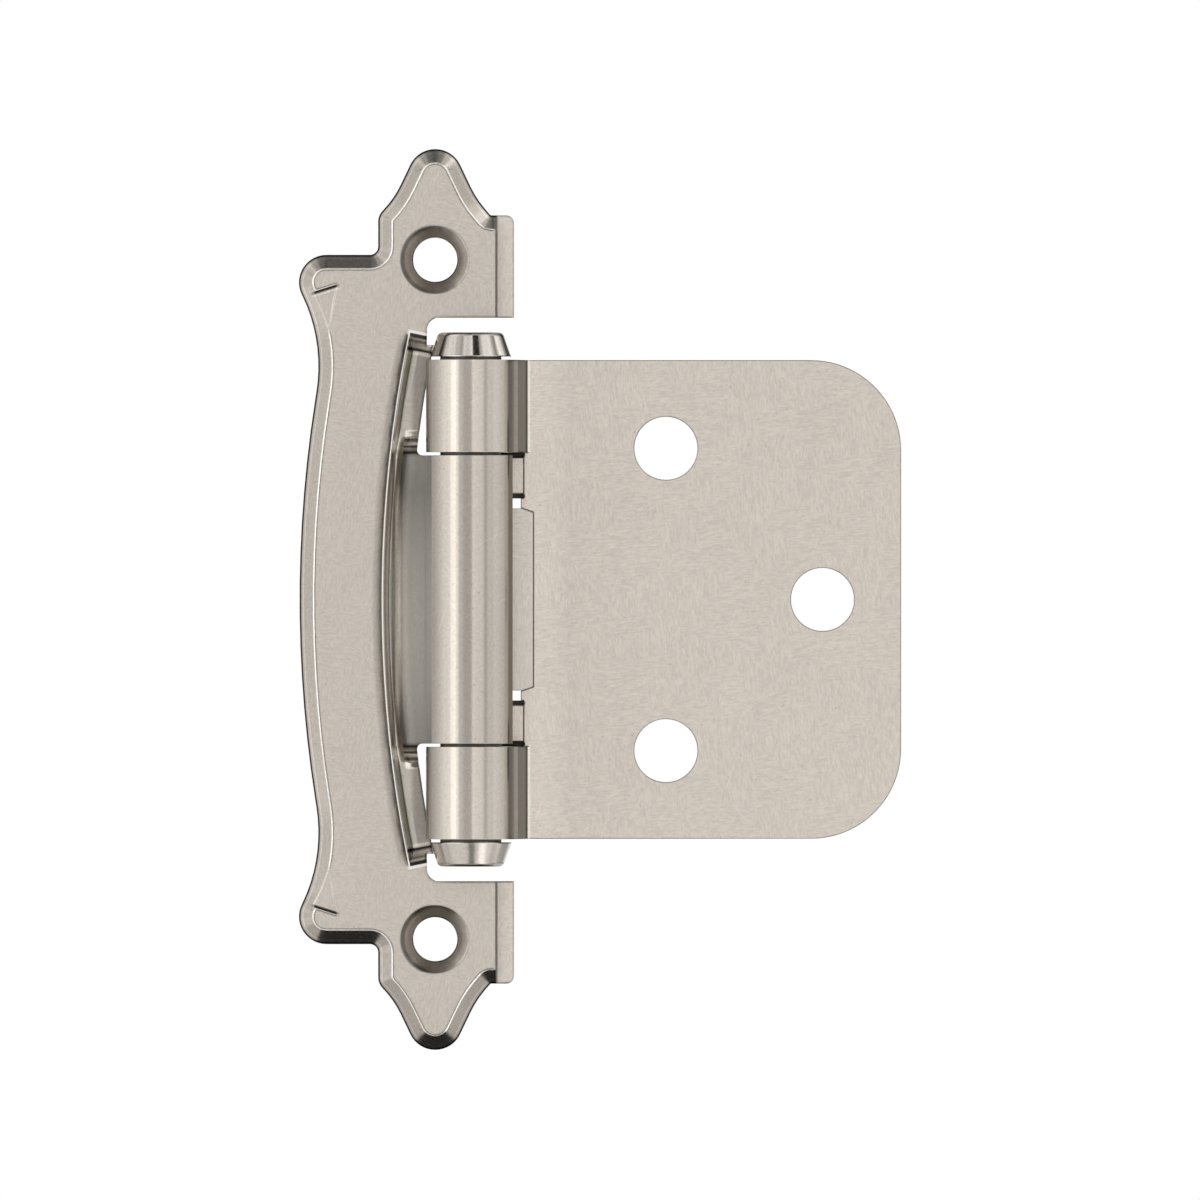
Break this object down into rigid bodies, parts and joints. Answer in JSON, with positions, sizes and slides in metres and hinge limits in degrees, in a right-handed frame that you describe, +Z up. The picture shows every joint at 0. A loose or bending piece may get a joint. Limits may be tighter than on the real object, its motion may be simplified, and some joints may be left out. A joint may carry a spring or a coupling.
{
  "type": "spring loaded door hinge",
  "caption": "Self-closing cabinet hinge: an ornate raised frame wing and a flat rounded door leaf share a spring-held barrel.",
  "frame": {"origin": "midway between the frame wing's two screw holes, on the flat back that the wing mounts on", "axes": "+X from the wing towards the door leaf, +Z up along the pin, front towards -Y"},
  "size_m": [0.0468, 0.0078, 0.07],
  "materials": {
    "plated_sheet": "satin nickel plate, finely brushed",
    "plated_pin": "satin nickel plate, turned",
    "spring_steel": "plated spring steel strip"
  },
  "bodies": {
    "wing": {"frame_wing": "plated_sheet"},
    "leaf": {"door_leaf": "plated_sheet", "hinge_pin": "plated_pin", "pin_tip": "plated_pin", "closing_spring": "spring_steel"}
  },
  "joints": [
    {"name": "leaf_swing", "type": "hinge", "parent": "wing", "child": "leaf", "pos_m": [0.00278, -0.0043, 0], "axis": [0, 0, -1], "range_deg": [0, 180], "stiffness_Nm_per_rad": 0.02, "springref_deg": -20.05}
  ]
}
